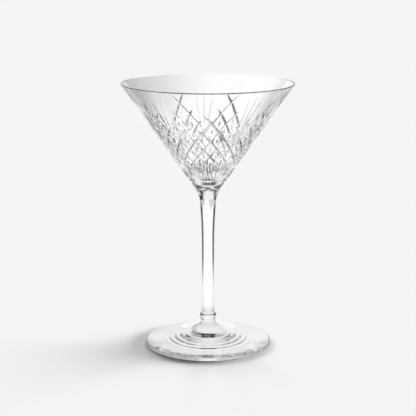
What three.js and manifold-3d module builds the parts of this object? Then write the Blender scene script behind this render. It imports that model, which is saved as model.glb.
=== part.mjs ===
// Stemmed martini glass in cut crystal. Millimetres, +Z up, standing on z = 0 with its
// axis on x = y = 0. Three gathers of glass are fused end to end: bowl, stem and foot.
import * as THREE from 'three';
import { mergeVertices } from 'three/addons/utils/BufferGeometryUtils.js';
import Module from 'manifold-3d';

const wasm = await Module();
wasm.setup();

// Overall size
const HEIGHT = 180;
const RIM_RADIUS = 58;
const FOOT_RADIUS = 43.1;
const BOWL_JOINT_Z = 109;
const FOOT_JOINT_Z = 16;

// Bowl wall: a straight cone outside, a slightly steeper one inside, and a round hollow bottom
const CONE_SLOPE = 0.695;
const WALL_AT_RIM = 1.3;
const WALL_LOW = 3.4;
const HOLLOW_EDGE_Z = 121;
const HOLLOW_BOTTOM_Z = 115;
const LIP = 0.6;

// Cut pattern: repeats round the bowl, in steps of half a diamond
const PANELS = 7;
const STEPS_PER_PANEL = 6;
const STEP = (2 * Math.PI) / (PANELS * STEPS_PER_PANEL);
const PATTERN_TURN = THREE.MathUtils.degToRad(2.8);
const TOP_CROSSING_Z = 158.8;
const ROW_RATIO = 0.885;
const PATTERN_TOP_Z = 166;
const LAST_ROW = 6.4;
const LATTICE_CUT = { width: 2.1, depth: 0.8, narrowing: 0.45 };
const OLIVE_CUT = { width: 2.6, depth: 0.8, reach: 0.4 };
const FLUTE_CUT = { width: 2.0, depth: 1.05, foot: 110.6, shortTop: 122.5, longTop: 124.5 };

// Stem, with a small knob over the notch where it stands on the foot
const STEM_RADIUS = 4.15;
const JOINT_RADIUS_LOW = 4.9;
const NOTCH_Z = 17.3;

// Foot: its underside is domed inside a crease, then falls to the table in spun ripples
const CREASE_RADIUS = 13.4;
const CREASE_Z = 2.7;
const RIPPLE_END = 30;
const RIPPLES = 4;
const RIPPLE_DEPTH = 0.07;
const TABLE_RING_IN = 38.5;
const TABLE_RING_OUT = 41.2;

// Facets of the round work, and stations along each kind of cut
const BOWL_SEGMENTS = 56;
const STEM_SEGMENTS = 40;
const FOOT_SEGMENTS = 56;
const LATTICE_STATIONS = 6;
const LEAF_STATIONS = 6;
const OLIVE_STATIONS = 3;
const FLUTE_STATIONS = 3;

const coneRadius = (z) => RIM_RADIUS - CONE_SLOPE * (HEIGHT - LIP - z);
const coneHeight = (r) => HEIGHT - LIP - (RIM_RADIUS - r) / CONE_SLOPE;
const BOWL_JOINT_RADIUS = coneRadius(BOWL_JOINT_Z);

// Points on a cubic Bezier curve through (radius, height) pairs, without its first point
function bend(p0, p1, p2, p3, count) {
  const at = ([x, y]) => new THREE.Vector2(x, y);
  const curve = new THREE.CubicBezierCurve(at(p0), at(p1), at(p2), at(p3));
  return curve.getPoints(count).slice(1);
}

const corners = (pairs) => pairs.map(([r, z]) => new THREE.Vector2(r, z));

// A closed solid from a geometry, with its shared vertices merged
function solid(geometry) {
  const plain = geometry.index ? geometry : mergeVertices(geometry);
  plain.deleteAttribute('normal');
  plain.deleteAttribute('uv');
  const merged = mergeVertices(plain, 1e-4);
  return new wasm.Manifold(new wasm.Mesh({
    numProp: 3,
    vertProperties: merged.attributes.position.array,
    triVerts: new Uint32Array(merged.index.array),
  }));
}

// A solid of revolution about +Z from a profile that starts and ends on the axis
function turned(profile, segments) {
  return solid(new THREE.LatheGeometry(profile, segments).rotateX(Math.PI / 2));
}

function toMesh(name, body, material) {
  const { vertProperties, triVerts } = body.getMesh();
  const geometry = new THREE.BufferGeometry();
  geometry.setAttribute('position', new THREE.BufferAttribute(new Float32Array(vertProperties), 3));
  geometry.setIndex(new THREE.BufferAttribute(new Uint32Array(triVerts), 1));
  geometry.computeVertexNormals();
  const mesh = new THREE.Mesh(geometry, material);
  mesh.name = name;
  return mesh;
}

// The outer cone as a surface: azimuth is counted from -Y, towards +X
function onCone(azimuth, z) {
  const r = coneRadius(z);
  const angle = azimuth + PATTERN_TURN;
  const outward = new THREE.Vector3(Math.sin(angle), -Math.cos(angle), 0);
  return {
    point: outward.clone().multiplyScalar(r).setZ(z),
    normal: outward.clone().setZ(-CONE_SLOPE).normalize(),
  };
}

// A V-shaped wheel cut. path(t) gives [azimuth, z]; width and depth are its fullest section,
// and swell(t) says how full it is from 0 to 1 along the cut.
const LIFT = 0.5;
function wheelCut(path, width, depth, swell, stations) {
  const positions = [];
  const index = [];
  const spot = (t) => onCone(...path(t));
  for (let i = 0; i <= stations; i += 1) {
    const t = i / stations;
    const { point, normal } = spot(t);
    const ahead = spot(Math.min(t + 0.01, 1)).point;
    const behind = spot(Math.max(t - 0.01, 0)).point;
    const along = ahead.sub(behind).normalize();
    const across = new THREE.Vector3().crossVectors(normal, along).normalize();
    const sink = depth * swell(t);
    const half = ((sink + LIFT) * width) / (2 * depth);
    const top = point.clone().addScaledVector(normal, LIFT);
    const left = top.clone().addScaledVector(across, half);
    const right = top.clone().addScaledVector(across, -half);
    const root = point.clone().addScaledVector(normal, -sink);
    [left, right, root].forEach((corner) => positions.push(...corner.toArray()));
  }
  for (let i = 0; i < stations; i += 1) {
    const a = 3 * i;
    for (let side = 0; side < 3; side += 1) {
      const next = (side + 1) % 3;
      index.push(a + side, a + next, a + 3 + next, a + side, a + 3 + next, a + 3 + side);
    }
  }
  const end = 3 * stations;
  index.push(0, 2, 1, end, end + 1, end + 2);
  const geometry = new THREE.BufferGeometry();
  geometry.setAttribute('position', new THREE.BufferAttribute(new Float32Array(positions), 3));
  geometry.setIndex(index);
  return solid(geometry);
}

// How full a cut is when the wheel dips in and out over its whole length, or only at its ends
const lens = (t) => 1.1 * Math.sin(Math.PI * t) ** 0.7 - 0.1;
const plunge = (t) => Math.min(1, 13 * Math.min(t, 1 - t) - 0.1);

// Diamond lattice: rows shrink with the cone, so every crossing has the same angles
const rowHeight = (row) => coneHeight(coneRadius(TOP_CROSSING_Z) * ROW_RATIO ** row);
const rowOf = (z) => Math.log(coneRadius(z) / coneRadius(TOP_CROSSING_Z)) / Math.log(ROW_RATIO);

function latticeCuts() {
  const cuts = [];
  const { width, depth, narrowing } = LATTICE_CUT;
  const starts = [rowOf(PATTERN_TOP_Z), 0.45, 1.45];
  for (let panel = 0; panel < PANELS; panel += 1) {
    starts.forEach((firstRow, line) => {
      [1, -1].forEach((turn) => {
        const path = (t) => {
          const row = firstRow + (LAST_ROW - firstRow) * t;
          const step = turn * (row - 2 * line) + panel * STEPS_PER_PANEL;
          return [step * STEP, rowHeight(row)];
        };
        const swell = (t) => plunge(t) * (1 - narrowing * t);
        cuts.push(wheelCut(path, width, depth, swell, LATTICE_STATIONS));
      });
    });
  }
  return cuts;
}

// Fans of leaf cuts between the lattice panels, spreading up from the third crossing
const LEAVES = [
  { side: 0, top: 165, foot: 134, lean: 0, width: 4.2, depth: 0.4 },
  { side: 1, top: 164, foot: 136, lean: 0.95, width: 4.0, depth: 0.38 },
  { side: -1, top: 164, foot: 136, lean: 0.95, width: 4.0, depth: 0.38 },
];

function leafCuts() {
  const cuts = [];
  for (let panel = 0; panel < PANELS; panel += 1) {
    const middle = (panel + 0.5) * STEPS_PER_PANEL;
    LEAVES.forEach(({ side, top, foot, lean, width, depth }) => {
      const path = (t) => {
        const spread = side * lean * (0.3 + 0.7 * t);
        return [(middle + spread) * STEP, foot + (top - foot) * t];
      };
      cuts.push(wheelCut(path, width, depth, lens, LEAF_STATIONS));
    });
  }
  return cuts;
}

// Small upright cuts inside the diamonds, each at a [row, step] of its panel
const OLIVES = [[2, -1], [2, 1], [3, -2], [3, 0], [3, 2], [4, -1], [4, 1]];

function oliveCuts() {
  const cuts = [];
  const { width, depth, reach } = OLIVE_CUT;
  for (let panel = 0; panel < PANELS; panel += 1) {
    OLIVES.forEach(([row, step]) => {
      const azimuth = (panel * STEPS_PER_PANEL + step) * STEP;
      const size = ROW_RATIO ** row;
      const path = (t) => [azimuth, rowHeight(row + reach * (1 - 2 * t))];
      cuts.push(wheelCut(path, width * size, depth * size, lens, OLIVE_STATIONS));
    });
  }
  return cuts;
}

// Fine upright flutes in a short band round the bottom of the hollow
function fluteCuts() {
  const cuts = [];
  const { width, depth, foot, shortTop, longTop } = FLUTE_CUT;
  for (let k = 0; k < PANELS * STEPS_PER_PANEL; k += 1) {
    const top = k % 2 ? longTop : shortTop;
    const path = (t) => [k * STEP, foot + (top - foot) * t];
    cuts.push(wheelCut(path, width, depth, plunge, FLUTE_STATIONS));
  }
  return cuts;
}

function makeBowl() {
  const innerTop = RIM_RADIUS - WALL_AT_RIM;
  const innerLow = coneRadius(HOLLOW_EDGE_Z) - WALL_LOW;
  const lipPull = HEIGHT + LIP / 3;
  const profile = [
    ...corners([[0, BOWL_JOINT_Z], [BOWL_JOINT_RADIUS, BOWL_JOINT_Z]]),
    ...corners([[RIM_RADIUS, HEIGHT - LIP]]),
    ...bend(
      [RIM_RADIUS, HEIGHT - LIP], [RIM_RADIUS, lipPull],
      [innerTop, lipPull], [innerTop, HEIGHT - LIP], 4,
    ),
    ...corners([[innerLow, HOLLOW_EDGE_Z]]),
    ...bend(
      [innerLow, HOLLOW_EDGE_Z], [innerLow * 0.8, HOLLOW_EDGE_Z - 4.7],
      [innerLow * 0.45, HOLLOW_BOTTOM_Z], [0, HOLLOW_BOTTOM_Z], 6,
    ),
  ];
  const blank = turned(profile, BOWL_SEGMENTS);
  const cuts = [...latticeCuts(), ...leafCuts(), ...oliveCuts(), ...fluteCuts()];
  return cuts.reduce((body, cut) => body.subtract(cut), blank);
}

function makeStem() {
  const profile = [
    ...corners([[0, FOOT_JOINT_Z], [JOINT_RADIUS_LOW, FOOT_JOINT_Z], [JOINT_RADIUS_LOW, NOTCH_Z]]),
    ...bend([JOINT_RADIUS_LOW, NOTCH_Z], [5.9, 17.3], [6.0, 19.6], [4.9, 21.6], 7),
    ...bend([4.9, 21.6], [4.5, 22.6], [4.2, 24], [STEM_RADIUS, 30], 5),
    ...corners([[STEM_RADIUS, 55]]),
    ...bend([STEM_RADIUS, 55], [4.2, 75], [4.55, 93], [5.75, 101.5], 8),
    ...bend([5.75, 101.5], [6.2, 103.8], [7.7, 106.4], [BOWL_JOINT_RADIUS, BOWL_JOINT_Z], 6),
    ...corners([[0, BOWL_JOINT_Z]]),
  ];
  return turned(profile, STEM_SEGMENTS);
}

// The underside of the foot outside its crease
function rippledUnderside(count) {
  const points = [];
  for (let i = 1; i <= count; i += 1) {
    const t = i / count;
    const r = CREASE_RADIUS + (TABLE_RING_IN - CREASE_RADIUS) * t;
    const along = Math.min((r - CREASE_RADIUS) / (RIPPLE_END - CREASE_RADIUS), 1);
    const wave = RIPPLE_DEPTH * Math.sin(2 * Math.PI * RIPPLES * along) * Math.sin(Math.PI * along);
    points.push([r, CREASE_Z * (1 - t) ** 1.4 + wave]);
  }
  return corners(points);
}

function makeFoot() {
  const profile = [
    ...corners([[0, 4.0]]),
    ...bend([0, 4.0], [6, 4.0], [10.5, 3.6], [CREASE_RADIUS, CREASE_Z], 5),
    ...rippledUnderside(36),
    ...corners([[TABLE_RING_OUT, 0]]),
    ...bend([TABLE_RING_OUT, 0], [42.4, 0], [FOOT_RADIUS, 0.4], [FOOT_RADIUS, 1.1], 3),
    ...bend([FOOT_RADIUS, 1.1], [FOOT_RADIUS, 1.9], [42.4, 2.1], [41, 2.3], 3),
    ...bend([41, 2.3], [31, 3.8], [17, 6.4], [11, 9.9], 10),
    ...bend([11, 9.9], [8.2, 11.6], [4.9, 13.3], [JOINT_RADIUS_LOW, FOOT_JOINT_Z], 8),
    ...corners([[0, FOOT_JOINT_Z]]),
  ];
  return turned(profile, FOOT_SEGMENTS);
}

const crystal = (tint) => new THREE.MeshStandardMaterial({ color: tint, roughness: 0.03, metalness: 0 });

const glass = new THREE.Group();
glass.add(toMesh('bowl', makeBowl(), crystal(0xf4f7f7)));
glass.add(toMesh('stem', makeStem(), crystal(0xf6f8f8)));
glass.add(toMesh('foot', makeFoot(), crystal(0xf0f5f5)));

export default glass;
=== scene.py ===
"""Martini glass in cut crystal: the looks of bowl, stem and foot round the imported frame."""

import math

import bpy
import numpy as np
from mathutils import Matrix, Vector


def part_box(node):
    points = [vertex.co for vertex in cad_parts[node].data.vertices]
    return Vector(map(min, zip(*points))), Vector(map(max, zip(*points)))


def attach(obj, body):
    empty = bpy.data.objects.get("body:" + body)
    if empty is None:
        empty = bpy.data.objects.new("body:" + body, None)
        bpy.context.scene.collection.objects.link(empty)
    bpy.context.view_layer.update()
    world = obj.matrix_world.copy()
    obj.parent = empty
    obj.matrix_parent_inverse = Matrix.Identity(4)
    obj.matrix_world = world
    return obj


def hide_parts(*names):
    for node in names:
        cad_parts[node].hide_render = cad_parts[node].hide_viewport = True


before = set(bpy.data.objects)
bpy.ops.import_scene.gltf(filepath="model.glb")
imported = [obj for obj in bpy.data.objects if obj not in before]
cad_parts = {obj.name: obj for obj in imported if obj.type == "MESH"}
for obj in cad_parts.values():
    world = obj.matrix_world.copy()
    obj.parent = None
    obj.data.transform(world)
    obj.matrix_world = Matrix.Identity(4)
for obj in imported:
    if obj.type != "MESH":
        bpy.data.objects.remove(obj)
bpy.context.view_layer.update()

MM = 0.001

# Driving sizes, in millimetres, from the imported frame
bowl_low, bowl_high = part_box("bowl")
foot_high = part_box("foot")[1]
HEIGHT = bowl_high.z / MM
RIM_RADIUS = bowl_high.x / MM
FOOT_RADIUS = foot_high.x / MM
BOWL_JOINT_Z = bowl_low.z / MM
FOOT_JOINT_Z = foot_high.z / MM

# Bowl wall
CONE_SLOPE = 0.695
WALL_AT_RIM = 1.3
WALL_LOW = 3.4
HOLLOW_EDGE_Z = 121
HOLLOW_BOTTOM_Z = 115
LIP = 0.6
BOWL_JOINT_RADIUS = RIM_RADIUS - CONE_SLOPE * (HEIGHT - LIP - BOWL_JOINT_Z)
# Level part of the unit normal of the cone
WALL_FLARE = 1 / math.hypot(1, CONE_SLOPE)

# Cut pattern, laid out in steps round the bowl and in rows of crossings down it. The radius of
# the cone at each row is ROW_RATIO times that at the row above.
PANELS = 7
STEPS_PER_PANEL = 6
STEP = 2 * math.pi / (PANELS * STEPS_PER_PANEL)
PATTERN_TURN = math.radians(2.8)
TOP_CROSSING_Z = 158.8
ROW_RATIO = 0.885
PATTERN_TOP_Z = 166
LAST_ROW = 6.4
# Each side of a panel has three lattice lines. The first starts at PATTERN_TOP_Z, and the second
# and third start in these rows.
LATER_LINE_ROWS = (0.45, 1.45)
# Part of a lattice cut's depth that is lost by its end
LATTICE_FADE = 0.45
# An olive cut reaches this many rows up and down from its middle
OLIVE_REACH = 0.4
FLUTE_FOOT_Z = 110.6
FLUTE_TOPS_Z = (122.5, 124.5)

# Width and depth of the wheel cuts
LATTICE_CUT = (2.1, 0.8)
OLIVE_CUT = (2.6, 0.8)
FLUTE_CUT = (2.0, 1.05)

# Leaf cuts of one fan: side of its middle, heights, lean in steps, width and depth
LEAVES = (
    {"side": 0, "top": 165, "foot": 134, "lean": 0, "width": 4.2, "depth": 0.4},
    {"side": 1, "top": 164, "foot": 136, "lean": 0.95, "width": 4.0, "depth": 0.38},
    {"side": -1, "top": 164, "foot": 136, "lean": 0.95, "width": 4.0, "depth": 0.38},
)
# Part of a leaf's lean that it has at its foot already
LEAF_SPREAD_LOW = 0.3

# Olive cuts of one panel, each at a (row, step)
OLIVES = ((2, -1), (2, 1), (3, -2), (3, 0), (3, 2), (4, -1), (4, 1))

# Stem: radius of its rod and of its joint with the foot, height of the notch under the knob, and
# the places where its curves meet, as (radius, height)
STEM_RADIUS = 4.15
JOINT_RADIUS_LOW = 4.9
NOTCH_Z = 17.3
KNOB_TOP = (4.9, 21.6)
ROD_LOW = (STEM_RADIUS, 30)
ROD_HIGH = (STEM_RADIUS, 55)
FLARE_START = (5.75, 101.5)

# Foot: edge, and where its curves meet on top, as (radius, height)
EDGE_LOW_Z = 1.1
EDGE_ROUND_RADIUS = 42.4
EDGE_TOP = (41, 2.3)
BOSS_START = (11, 9.9)

# Foot: hollow, crease and ripples underneath, and the ring that it stands on
UNDERSIDE_Z = 4.0
CREASE_RADIUS = 13.4
CREASE_Z = 2.7
RIPPLE_END = 30
RIPPLES = 4
RIPPLE_DEPTH = 0.07
TABLE_RING_IN = 38.5
TABLE_RING_OUT = 41.2

# How fine the round work is
BOWL_SEGMENTS = 252
STEM_SEGMENTS = 144
FOOT_SEGMENTS = 384
LATTICE_STATIONS = 36
LEAF_STATIONS = 28
OLIVE_STATIONS = 16
FLUTE_STATIONS = 20

# How far a cutter stands out of the cone
LIFT = 0.5

# Gap under the foot, so that glass and floor never share a plane
FLOOR_Z = -0.05 * MM
# The paper reaches this far each way, in metres
FLOOR_REACH = 6

# Studio: brightness as a base and soft-edged round panels, each with its azimuth, elevation,
# half width and soft edge in degrees, and what it adds. A black card, a panel with negative
# brightness, takes light away: it is painted shade, and no card stands in the scene.
# Azimuths are counted from +Y, behind the glass, towards +X.
WORLD_BASE = 0.0
WORLD_PANELS = (
    (-5, 8, 28, 8, 0.9),
    (278, 25, 26, 10, 0.45),
    (160, 68, 28, 16, 0.4),
)
# One small warm lamp high in front, for the amber glint in the thick glass
WARM_LAMP = ((180, 72, 5, 2, 2.4),)
WARM = (1, 0.62, 0.25, 1)
# The floor's own light, which only the crystal sees: painted light on the paper, brighter behind
# and in front of the glass, with painted shade at the sides from the black cards.
FLOOR_BASE = 0.65
FLOOR_PANELS = (
    (0, -25, 32, 12, 0.45),
    (0, -61, 19, 8, 0.38),
    (165, -45, 38, 20, 0.7),
    (66, -35, 26, 6, -0.64),
    (296, -35, 25, 6, -0.64),
    (-17, -9, 14, 5, -0.4),
    (26, -9, 10, 5, -0.4),
)
# The floor panels are aimed from this height over the floor, in metres
AIM_HEIGHT = 0.3
# Lamps for the paper: azimuths, elevation and spread in degrees, power of each
PAPER_LIGHTS = (
    ((48, 59, 70, 81), 5.5, 12, 4.0),
    ((-30, -12, 6), 12, 10, 2.3),
    ((60,), 80, 120, 0.22),
)
# Faintly cool light, for the bluish greys of the crystal
LIGHT_TINT = (0.965, 0.98, 1, 1)
# The paper, and what shows beyond it, as bright as the lit paper
PAPER = (0.9, 0.9, 0.885, 1)
BACKDROP = (0.91, 0.91, 0.895, 1)

# Camera: place in metres, tilt below level in degrees, lens and sensor width in millimetres
CAMERA_PLACE = (0, -0.8524, 0.2813)
CAMERA_TILT = 12.352
LENS = 111.3
SENSOR_WIDTH = 36

# Crystal: refractive index, and how many waves to the metre and how high in metres they are
GLASS_INDEX = 1.53
WAVE_SCALE = 90
WAVE_HEIGHT = 0.0006

# Material places on a piece
CLEAR = 0
FUSED = 1

# How near a facet has to be to the true cone to be smoothed as part of it, as parts of a unit
# normal, and how far from the axis a corner has to be for that, in metres
CONE_MATCH = 0.03
OFF_AXIS = 2 * MM


def cone_radius(z):
    return RIM_RADIUS - CONE_SLOPE * (HEIGHT - LIP - z)


def cone_height(r):
    return HEIGHT - LIP - (RIM_RADIUS - r) / CONE_SLOPE


def bend(p0, p1, p2, p3, count):
    """Points on a cubic Bezier curve through (radius, height) pairs, without its first point."""
    points = []
    for i in range(1, count + 1):
        t = i / count
        weights = ((1 - t) ** 3, 3 * t * (1 - t) ** 2, 3 * t * t * (1 - t), t**3)
        points.append(
            tuple(sum(w * p[k] for w, p in zip(weights, (p0, p1, p2, p3))) for k in (0, 1))
        )
    return points


def new_object(name, verts, faces):
    mesh = bpy.data.meshes.new(name)
    mesh.from_pydata([tuple(c * MM for c in v) for v in verts], [], faces)
    mesh.validate()
    mesh.update()
    obj = bpy.data.objects.new(name, mesh)
    bpy.context.scene.collection.objects.link(obj)
    return obj


def turned(name, profile, segments):
    """A solid of revolution about +Z. The profile runs counter-clockwise and ends on the axis."""
    verts = []
    rings = []
    for r, z in profile:
        if r < 1e-9:
            rings.append([len(verts)])
            verts.append((0, 0, z))
            continue
        rings.append(list(range(len(verts), len(verts) + segments)))
        for k in range(segments):
            angle = 2 * math.pi * k / segments
            verts.append((r * math.cos(angle), r * math.sin(angle), z))
    faces = []
    for low, high in zip(rings, rings[1:]):
        for k in range(segments):
            n = (k + 1) % segments
            if len(low) == 1:
                faces.append((low[0], high[n], high[k]))
            elif len(high) == 1:
                faces.append((low[k], low[n], high[0]))
            else:
                faces.append((low[k], low[n], high[n], high[k]))
    return new_object(name, verts, faces)


def on_cone(azimuth, z):
    """Point and outward normal of the outer cone; azimuth runs from the middle of a panel."""
    r = cone_radius(z)
    angle = azimuth + PATTERN_TURN
    outward = np.array((math.sin(angle), -math.cos(angle), 0.0))
    point = outward * r + np.array((0, 0, z))
    normal = outward + np.array((0, 0, -CONE_SLOPE))
    return point, normal / np.linalg.norm(normal)


def wheel_cut(path, width, depth, swell, stations):
    """Vertices and faces of one V-shaped cutter along path(t), t from 0 to 1."""
    verts = []
    faces = []
    for i in range(stations + 1):
        t = i / stations
        point, normal = on_cone(*path(t))
        ahead, _ = on_cone(*path(min(t + 0.01, 1)))
        behind, _ = on_cone(*path(max(t - 0.01, 0)))
        across = np.cross(normal, ahead - behind)
        across /= np.linalg.norm(across)
        sink = depth * swell(t)
        half = (sink + LIFT) * width / (2 * depth)
        top = point + normal * LIFT
        verts += [top + across * half, top - across * half, point - normal * sink]
    for i in range(stations):
        a = 3 * i
        for side in range(3):
            n = (side + 1) % 3
            faces.append((a + side, a + n, a + 3 + n, a + 3 + side))
    end = 3 * stations
    faces += [(0, 2, 1), (end, end + 1, end + 2)]
    return verts, faces


def joined(name, cuts):
    """One object from cutters that keep clear of each other."""
    verts = []
    faces = []
    for cut_verts, cut_faces in cuts:
        start = len(verts)
        verts += cut_verts
        faces += [tuple(i + start for i in face) for face in cut_faces]
    return new_object(name, verts, faces)


def carve(obj, cutters):
    """Subtracts the cutters from obj, keeps the result as its mesh and removes the cutters."""
    for cutter in cutters:
        modifier = obj.modifiers.new("cut", "BOOLEAN")
        modifier.operation = "DIFFERENCE"
        modifier.solver = "MANIFOLD"
        modifier.object = cutter
    depsgraph = bpy.context.evaluated_depsgraph_get()
    carved = bpy.data.meshes.new_from_object(obj.evaluated_get(depsgraph))
    obj.modifiers.clear()
    obj.data = carved
    for cutter in cutters:
        bpy.data.objects.remove(cutter)


def lens(t):
    """How full a cut is when the wheel dips in and out over its whole length."""
    return 1.1 * math.sin(math.pi * t) ** 0.7 - 0.1


def plunge(t):
    """How full a cut is when the wheel dips in and out at its ends only."""
    return min(1, 13 * min(t, 1 - t) - 0.1)


def row_height(row):
    return cone_height(cone_radius(TOP_CROSSING_Z) * ROW_RATIO**row)


def row_of(z):
    return math.log(cone_radius(z) / cone_radius(TOP_CROSSING_Z)) / math.log(ROW_RATIO)


def lattice_cutters():
    """Diamond lattice: rows shrink with the cone, so every crossing has the same angles."""
    groups = {1: [], -1: []}
    starts = (row_of(PATTERN_TOP_Z), *LATER_LINE_ROWS)

    def fading(t):
        return plunge(t) * (1 - LATTICE_FADE * t)

    for panel in range(PANELS):
        for line, first in enumerate(starts):
            for turn in (1, -1):

                def path(t, first=first, line=line, turn=turn, panel=panel):
                    row = first + (LAST_ROW - first) * t
                    step = turn * (row - 2 * line) + panel * STEPS_PER_PANEL
                    return step * STEP, row_height(row)

                groups[turn].append(wheel_cut(path, *LATTICE_CUT, fading, LATTICE_STATIONS))
    return [joined("lattice", cuts) for cuts in groups.values()]


def leaf_cutters():
    """Fans of leaf cuts between the lattice panels, spreading up from the third crossing."""
    groups = []
    for leaf in LEAVES:
        cuts = []
        for panel in range(PANELS):
            middle = (panel + 0.5) * STEPS_PER_PANEL

            def path(t, leaf=leaf, middle=middle):
                opened = LEAF_SPREAD_LOW + (1 - LEAF_SPREAD_LOW) * t
                spread = leaf["side"] * leaf["lean"] * opened
                z = leaf["foot"] + (leaf["top"] - leaf["foot"]) * t
                return (middle + spread) * STEP, z

            cuts.append(wheel_cut(path, leaf["width"], leaf["depth"], lens, LEAF_STATIONS))
        groups.append(joined("leaves", cuts))
    return groups


def olive_cutters():
    """Small upright cuts inside the diamonds, smaller row by row."""
    cuts = []
    width, depth = OLIVE_CUT
    for panel in range(PANELS):
        for row, step in OLIVES:

            def path(t, panel=panel, row=row, step=step):
                z = row_height(row + OLIVE_REACH * (1 - 2 * t))
                return (panel * STEPS_PER_PANEL + step) * STEP, z

            size = ROW_RATIO**row
            cuts.append(wheel_cut(path, width * size, depth * size, lens, OLIVE_STATIONS))
    return [joined("olives", cuts)]


def flute_cutters():
    """Fine upright flutes in a short band round the bottom of the hollow."""
    groups = [[], []]
    for k in range(PANELS * STEPS_PER_PANEL):
        top = FLUTE_TOPS_Z[k % 2]

        def path(t, k=k, top=top):
            return k * STEP, FLUTE_FOOT_Z + (top - FLUTE_FOOT_Z) * t

        groups[k % 2].append(wheel_cut(path, *FLUTE_CUT, plunge, FLUTE_STATIONS))
    return [joined("flutes", cuts) for cuts in groups]


def shade(obj, sharp_degrees):
    """Smooth shading that breaks at the edges sharper than the given angle."""
    mesh = obj.data
    mesh.shade_smooth()
    mesh.set_sharp_from_angle(angle=math.radians(sharp_degrees))


def cone_normals(obj):
    """Gives every uncut stretch of the outer and inner cones the normal of a true cone."""
    mesh = obj.data
    normals = []
    for polygon in mesh.polygons:
        n = polygon.normal
        c = polygon.center
        r = math.hypot(c.x, c.y)
        flare = math.hypot(n.x, n.y)
        turned_by = abs(c.x * n.y - c.y * n.x) / max(r, 1e-9)
        on_wall = max(abs(flare - WALL_FLARE), turned_by) < CONE_MATCH and polygon.area > 0
        for i in polygon.vertices:
            v = mesh.vertices[i].co
            reach = math.hypot(v.x, v.y)
            if on_wall and reach > OFF_AXIS:
                out = math.copysign(flare, n.x * c.x + n.y * c.y) / reach
                normals.append((v.x * out, v.y * out, n.z))
            else:
                normals.append((0, 0, 0))
    mesh.normals_split_custom_set(normals)


def make_bowl():
    inner_top = RIM_RADIUS - WALL_AT_RIM
    inner_low = cone_radius(HOLLOW_EDGE_Z) - WALL_LOW
    lip_pull = HEIGHT + LIP / 3
    profile = [(0, BOWL_JOINT_Z), (BOWL_JOINT_RADIUS, BOWL_JOINT_Z)]
    profile += [(RIM_RADIUS, HEIGHT - LIP)]
    profile += bend(
        (RIM_RADIUS, HEIGHT - LIP),
        (RIM_RADIUS, lip_pull),
        (inner_top, lip_pull),
        (inner_top, HEIGHT - LIP),
        12,
    )
    profile += [(inner_low, HOLLOW_EDGE_Z)]
    profile += bend(
        (inner_low, HOLLOW_EDGE_Z),
        (inner_low * 0.8, HOLLOW_EDGE_Z - 4.7),
        (inner_low * 0.45, HOLLOW_BOTTOM_Z),
        (0, HOLLOW_BOTTOM_Z),
        20,
    )
    bowl = turned("crystal_bowl", profile, BOWL_SEGMENTS)
    carve(bowl, lattice_cutters() + leaf_cutters() + olive_cutters() + flute_cutters())
    shade(bowl, 20)
    cone_normals(bowl)
    return bowl


def make_stem():
    profile = [(0, FOOT_JOINT_Z), (JOINT_RADIUS_LOW, FOOT_JOINT_Z)]
    profile += [(JOINT_RADIUS_LOW, NOTCH_Z)]
    profile += bend((JOINT_RADIUS_LOW, NOTCH_Z), (5.9, NOTCH_Z), (6.0, 19.6), KNOB_TOP, 20)
    profile += bend(KNOB_TOP, (4.5, 22.6), (4.2, 24), ROD_LOW, 12)
    profile += [ROD_HIGH]
    profile += bend(ROD_HIGH, (4.2, 75), (4.55, 93), FLARE_START, 32)
    profile += bend(FLARE_START, (6.2, 103.8), (7.7, 106.4), (BOWL_JOINT_RADIUS, BOWL_JOINT_Z), 16)
    profile += [(0, BOWL_JOINT_Z)]
    stem = turned("crystal_stem", profile, STEM_SEGMENTS)
    shade(stem, 30)
    return stem


def ripples(low, high, drop, count):
    """The underside of the foot from radius low to high: it falls to the floor in spun ripples."""
    points = []
    for i in range(1, count + 1):
        t = i / count
        r = low + (high - low) * t
        along = min((r - low) / (RIPPLE_END - low), 1)
        wave = RIPPLE_DEPTH * math.sin(2 * math.pi * RIPPLES * along) * math.sin(math.pi * along)
        points.append((r, drop * (1 - t) ** 1.4 + wave))
    return points


def make_foot():
    edge_low = (FOOT_RADIUS, EDGE_LOW_Z)
    profile = [(0, UNDERSIDE_Z)]
    profile += bend(
        (0, UNDERSIDE_Z),
        (6, UNDERSIDE_Z),
        (10.5, 3.6),
        (CREASE_RADIUS, CREASE_Z),
        20,
    )
    profile += ripples(CREASE_RADIUS, TABLE_RING_IN, CREASE_Z, 60)
    profile += [(TABLE_RING_OUT, 0)]
    profile += bend(
        (TABLE_RING_OUT, 0),
        (EDGE_ROUND_RADIUS, 0),
        (FOOT_RADIUS, 0.4),
        edge_low,
        10,
    )
    profile += bend(edge_low, (FOOT_RADIUS, 1.9), (EDGE_ROUND_RADIUS, 2.1), EDGE_TOP, 10)
    profile += bend(EDGE_TOP, (31, 3.8), (17, 6.4), BOSS_START, 48)
    profile += bend(BOSS_START, (8.2, 11.6), (4.9, 13.3), (JOINT_RADIUS_LOW, FOOT_JOINT_Z), 20)
    profile += [(0, FOOT_JOINT_Z)]
    foot = turned("crystal_foot", profile, FOOT_SEGMENTS)
    shade(foot, 30)
    return foot


def new_material(name):
    """A material with no nodes yet, and its node tree."""
    material = bpy.data.materials.new(name)
    material.use_nodes = True
    material.node_tree.nodes.clear()
    return material, material.node_tree


def show(tree, shader):
    """Makes shader the surface of the material."""
    output = tree.nodes.new("ShaderNodeOutputMaterial")
    tree.links.new(shader, output.inputs["Surface"])


def mixed(tree, share, first, second):
    """First shader where share is 0, second where it is 1."""
    mix = tree.nodes.new("ShaderNodeMixShader")
    tree.links.new(share, mix.inputs[0])
    tree.links.new(first, mix.inputs[1])
    tree.links.new(second, mix.inputs[2])
    return mix.outputs[0]


def maths(tree, operation, first, second):
    """A Math node on sockets or numbers."""
    node = tree.nodes.new("ShaderNodeMath")
    node.operation = operation
    for place, value in enumerate((first, second)):
        if isinstance(value, (int, float)):
            node.inputs[place].default_value = value
        else:
            tree.links.new(value, node.inputs[place])
    return node.outputs[0]


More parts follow.
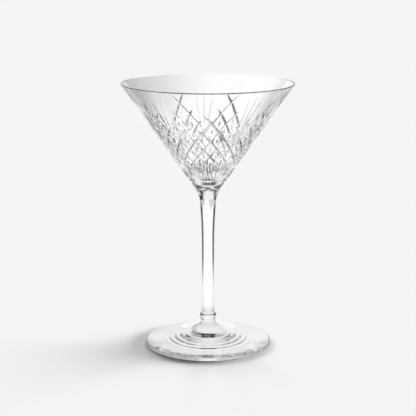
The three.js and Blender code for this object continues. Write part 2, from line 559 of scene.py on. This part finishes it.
def waves(tree, waviness):
    """Normal of a surface with the faint waves of hand-worked glass."""
    noise = tree.nodes.new("ShaderNodeTexNoise")
    noise.inputs["Scale"].default_value = WAVE_SCALE
    noise.inputs["Detail"].default_value = 1
    coordinates = tree.nodes.new("ShaderNodeTexCoord")
    tree.links.new(coordinates.outputs["Object"], noise.inputs["Vector"])
    bump = tree.nodes.new("ShaderNodeBump")
    bump.inputs["Strength"].default_value = waviness
    bump.inputs["Distance"].default_value = WAVE_HEIGHT
    tree.links.new(noise.outputs["Fac"], bump.inputs["Height"])
    return bump.outputs["Normal"]


def crystal(name, shadow, waviness):
    """Clear polished glass. The light that falls on the paper passes it straight, dimmed."""
    material, tree = new_material(name)
    glass = tree.nodes.new("ShaderNodeBsdfGlass")
    glass.inputs["Color"].default_value = (1, 1, 1, 1)
    glass.inputs["IOR"].default_value = GLASS_INDEX
    glass.inputs["Roughness"].default_value = 0.0
    tree.links.new(waves(tree, waviness), glass.inputs["Normal"])
    passing = tree.nodes.new("ShaderNodeBsdfTransparent")
    passing.inputs["Color"].default_value = (shadow, shadow, shadow, 1)
    path = tree.nodes.new("ShaderNodeLightPath").outputs
    to_paper = maths(tree, "MAXIMUM", path["Is Shadow Ray"], path["Is Diffuse Ray"])
    show(tree, mixed(tree, to_paper, glass.outputs[0], passing.outputs[0]))
    return material


def fused_joint():
    """The plane where two gathers melted into one: there is no surface to see."""
    material, tree = new_material("fused_joint")
    clear = tree.nodes.new("ShaderNodeBsdfTransparent")
    show(tree, clear.outputs[0])
    return material


def dress(obj, material, joint_material, joint_heights):
    """Puts crystal on the piece and the clear joint on the flat ends that meet other pieces."""
    mesh = obj.data
    mesh.materials.clear()
    mesh.materials.append(material)
    mesh.materials.append(joint_material)
    for polygon in mesh.polygons:
        flat = abs(polygon.normal.z) > 0.999
        at_joint = any(abs(polygon.center.z - z * MM) < 1e-5 for z in joint_heights)
        polygon.material_index = FUSED if flat and at_joint else CLEAR


def aim(azimuth, elevation):
    """Unit vector; azimuth is counted from +Y, behind the glass, towards +X."""
    a, e = math.radians(azimuth), math.radians(elevation)
    return Vector((math.sin(a) * math.cos(e), math.cos(a) * math.cos(e), math.sin(e)))


def panels_light(tree, vector, base, panels):
    """Brightness of the studio in the direction of vector: base plus soft-edged round panels.

    A panel is (azimuth, elevation, half width, soft edge, brightness), angles in degrees.
    """
    unit = tree.nodes.new("ShaderNodeVectorMath")
    unit.operation = "NORMALIZE"
    tree.links.new(vector, unit.inputs[0])
    total = base
    for azimuth, elevation, half, edge, bright in panels:
        dot = tree.nodes.new("ShaderNodeVectorMath")
        dot.operation = "DOT_PRODUCT"
        tree.links.new(unit.outputs[0], dot.inputs[0])
        dot.inputs[1].default_value = aim(azimuth, elevation)
        ramp = tree.nodes.new("ShaderNodeMapRange")
        ramp.interpolation_type = "SMOOTHSTEP"
        tree.links.new(dot.outputs["Value"], ramp.inputs["Value"])
        ramp.inputs["From Min"].default_value = math.cos(math.radians(half + edge))
        ramp.inputs["From Max"].default_value = math.cos(math.radians(max(half - edge, 0)))
        ramp.inputs["To Min"].default_value = 0
        ramp.inputs["To Max"].default_value = bright
        total = maths(tree, "ADD", total, ramp.outputs[0])
    return maths(tree, "MAXIMUM", total, 0.0)


def floor_paper():
    """White paper to the camera. To all other rays the paper itself emits painted light and
    painted shade, brighter behind and in front of the glass and darker at the sides, where black
    cards are painted in; the crystal bends and mirrors that."""
    material, tree = new_material("floor_paper")
    paper = tree.nodes.new("ShaderNodeBsdfDiffuse")
    paper.inputs["Color"].default_value = PAPER
    # Painted light: the paper emits light of its own to every ray that is not from the camera.
    painted_floor_light = tree.nodes.new("ShaderNodeEmission")
    painted_floor_light.inputs["Color"].default_value = LIGHT_TINT
    place = tree.nodes.new("ShaderNodeNewGeometry")
    from_above = tree.nodes.new("ShaderNodeVectorMath")
    from_above.operation = "SUBTRACT"
    from_above.inputs[1].default_value = (0, 0, AIM_HEIGHT)
    tree.links.new(place.outputs["Position"], from_above.inputs[0])
    light = panels_light(tree, from_above.outputs[0], FLOOR_BASE, FLOOR_PANELS)
    tree.links.new(light, painted_floor_light.inputs["Strength"])
    # The camera sees the plain paper; every other ray sees the painted light and painted shade.
    path = tree.nodes.new("ShaderNodeLightPath")
    bent = maths(tree, "SUBTRACT", 1.0, path.outputs["Is Camera Ray"])
    show(tree, mixed(tree, bent, paper.outputs[0], painted_floor_light.outputs[0]))
    return material


def make_floor():
    """A plain square of paper, well past what the camera sees."""
    mesh = bpy.data.meshes.new("floor")
    reach = FLOOR_REACH
    corners = [(-reach, -reach, 0), (reach, -reach, 0), (reach, reach, 0), (-reach, reach, 0)]
    mesh.from_pydata(corners, [], [(0, 1, 2, 3)])
    mesh.materials.append(floor_paper())
    floor = bpy.data.objects.new("floor", mesh)
    bpy.context.scene.collection.objects.link(floor)
    floor.location.z = FLOOR_Z


def make_world():
    """The studio that the crystal bends and mirrors, and a plain backdrop for the camera."""
    world = bpy.data.worlds.new("studio")
    bpy.context.scene.world = world
    world.use_nodes = True
    tree = world.node_tree
    background = tree.nodes["Background"]
    coordinates = tree.nodes.new("ShaderNodeTexCoord")
    light = panels_light(tree, coordinates.outputs["Generated"], WORLD_BASE, WORLD_PANELS)
    tree.links.new(light, background.inputs["Strength"])
    background.inputs["Color"].default_value = LIGHT_TINT
    warm = tree.nodes.new("ShaderNodeBackground")
    warm.inputs["Color"].default_value = WARM
    glint = panels_light(tree, coordinates.outputs["Generated"], 0, WARM_LAMP)
    tree.links.new(glint, warm.inputs["Strength"])
    both = tree.nodes.new("ShaderNodeAddShader")
    tree.links.new(background.outputs[0], both.inputs[0])
    tree.links.new(warm.outputs[0], both.inputs[1])
    backdrop = tree.nodes.new("ShaderNodeBackground")
    backdrop.inputs["Color"].default_value = BACKDROP
    path = tree.nodes.new("ShaderNodeLightPath")
    seen = mixed(tree, path.outputs["Is Camera Ray"], both.outputs[0], backdrop.outputs[0])
    tree.links.new(seen, tree.nodes["World Output"].inputs["Surface"])
    world.cycles_visibility.diffuse = False


def paper_lights():
    """Soft lamps that light the paper only, so the crystal mirrors no lamp."""
    for azimuths, elevation, spread, power in PAPER_LIGHTS:
        for azimuth in azimuths:
            data = bpy.data.lights.new("paper_light", "SUN")
            data.energy = power
            data.angle = math.radians(spread)
            light = bpy.data.objects.new("paper_light", data)
            bpy.context.scene.collection.objects.link(light)
            light.rotation_euler = (-aim(azimuth, elevation)).to_track_quat("-Z", "Y").to_euler()
            light.visible_glossy = False
            light.visible_transmission = False


def more_bounces():
    """Cut crystal sends light to and fro inside many times before it comes out."""
    cycles = bpy.context.scene.cycles
    cycles.max_bounces = 24
    cycles.glossy_bounces = 16
    cycles.transmission_bounces = 24


def make_camera():
    data = bpy.data.cameras.new("camera")
    data.sensor_width = SENSOR_WIDTH
    data.lens = LENS
    camera = bpy.data.objects.new("camera", data)
    bpy.context.scene.collection.objects.link(camera)
    camera.location = CAMERA_PLACE
    camera.rotation_euler = (math.radians(90 - CAMERA_TILT), 0, 0)
    bpy.context.scene.camera = camera


make_camera()
clear_joint = fused_joint()
# Node, piece, heights of its joints, how much lamplight it lets through, and waviness
pieces = (
    ("bowl", make_bowl(), (BOWL_JOINT_Z,), 0.88, 0.08),
    ("stem", make_stem(), (BOWL_JOINT_Z, FOOT_JOINT_Z), 0.9, 0.05),
    ("foot", make_foot(), (FOOT_JOINT_Z,), 0.3, 0.0),
)
for node, piece, joints, shadow, waviness in pieces:
    dress(piece, crystal(node + "_crystal", shadow, waviness), clear_joint, joints)
    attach(piece, "root")
    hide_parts(node)

make_floor()
make_world()
paper_lights()
more_bounces()
bpy.context.scene.view_settings.view_transform = "Standard"
